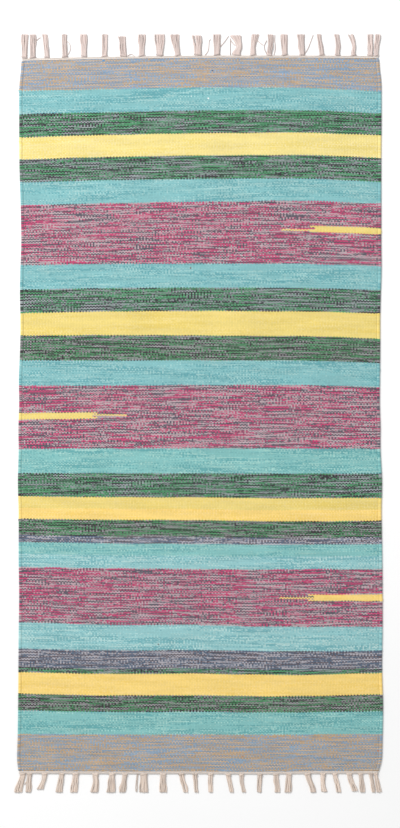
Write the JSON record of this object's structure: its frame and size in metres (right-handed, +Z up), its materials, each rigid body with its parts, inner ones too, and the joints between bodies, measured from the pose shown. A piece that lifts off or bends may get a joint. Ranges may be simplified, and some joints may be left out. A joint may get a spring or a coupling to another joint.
{
  "type": "kilim rug",
  "caption": "Flat-woven striped kilim rug, lying flat, with corded selvedges and a tasselled fringe along each end.",
  "frame": {"origin": "on the floor, under the middle of the box around the whole rug, fringes included", "axes": "+X across the rug, +Y along it towards the head end, whose line of weft bows, +Z up"},
  "size_m": [0.7115, 1.462, 0.0056],
  "materials": {
    "kilim_weave": "matte weft-faced cotton weave in turquoise, mottled green, yellow, mottled pink and grey stripes",
    "fringe_yarn": "natural plied cotton warp yarn"
  },
  "bodies": {
    "root": {"woven_field": "kilim_weave", "head_fringe": "fringe_yarn", "foot_fringe": "fringe_yarn"}
  },
  "joints": []
}
